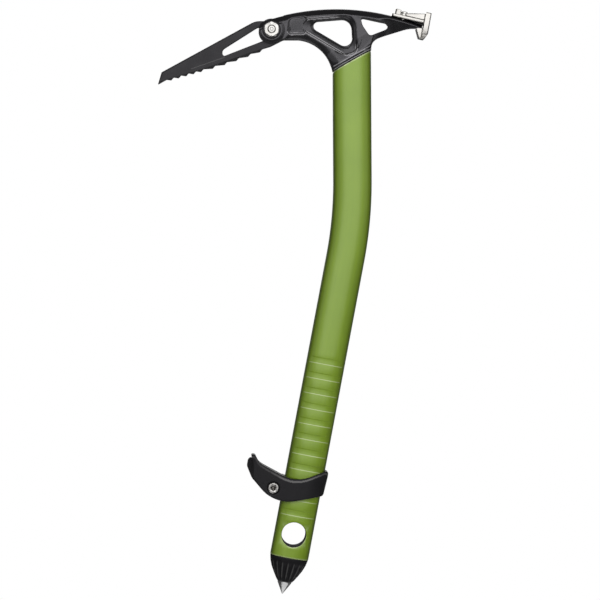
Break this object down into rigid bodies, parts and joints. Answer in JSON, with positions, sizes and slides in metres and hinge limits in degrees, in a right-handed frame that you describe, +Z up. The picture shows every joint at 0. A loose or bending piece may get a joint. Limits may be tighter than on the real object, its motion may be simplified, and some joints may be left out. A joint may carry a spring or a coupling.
{
  "type": "ice climbing tool",
  "caption": "Ice tool with a bent oval aluminium shaft, steel head carrying a bolted toothed pick and a hammer, spiked ferrule with a clip-in hole, and a sliding cam-locked pinky rest.",
  "frame": {"origin": "centre of the clip-in hole through the lower end of the shaft", "axes": "+Z up along the tool towards the head, +X towards the hammer, -X towards the pick, -Y the face that shows the pick's nut"},
  "size_m": [0.232, 0.0304, 0.497],
  "materials": {
    "green_shaft": "satin green anodised",
    "black_head": "satin black coated steel",
    "black_pick": "matt dark grey coated steel",
    "bright_hammer": "cast stainless, tumbled bright",
    "bright_fastener": "bright stainless",
    "bright_spike": "ground steel",
    "black_washer": "black oxide",
    "black_ferrule": "satin black",
    "black_rest": "fine moulded texture",
    "black_lever": "fine moulded texture"
  },
  "bodies": {
    "tool": {"shaft": "green_shaft", "head": "black_head", "pick": "black_pick", "pick_bolt": "bright_fastener", "pick_nut": "bright_fastener", "pick_washers": "black_washer", "hammer": "bright_hammer", "hammer_screw": "bright_fastener", "spike_ferrule": "black_ferrule", "spike_tip": "bright_spike", "spike_pin": "bright_fastener"},
    "pinky_rest": {"pinky_collar": "black_rest", "wear_plate": "bright_fastener", "screw_washer": "black_washer"},
    "tension_screw": {"tension_screw": "bright_fastener"},
    "pivot_barrel": {"pivot_barrel": "bright_fastener"},
    "cam_lever": {"cam_lever": "black_lever"}
  },
  "joints": [
    {"name": "rest_slide", "type": "slide", "parent": "tool", "child": "pinky_rest", "axis": [0.1908, 0, 0.9816], "range_m": [-0.01, 0.12]},
    {"name": "barrel_travel", "type": "slide", "parent": "pinky_rest", "child": "pivot_barrel", "axis": [0, 1, 0], "range_m": [0, 0.0014]},
    {"name": "tension_turn", "type": "hinge", "parent": "pinky_rest", "child": "tension_screw", "pos_m": [-0.01712, 0, 0.0398], "axis": [0, -1, 0], "range_deg": [0, 721]},
    {"name": "lever_swing", "type": "hinge", "parent": "pivot_barrel", "child": "cam_lever", "pos_m": [-0.01712, 0.0122, 0.0398], "axis": [-0.1908, 0, -0.9816], "range_deg": [0, 105]}
  ],
  "couplings": [
    {"joint": "tension_turn", "follows": "barrel_travel", "rad_per_m": 8976}
  ]
}
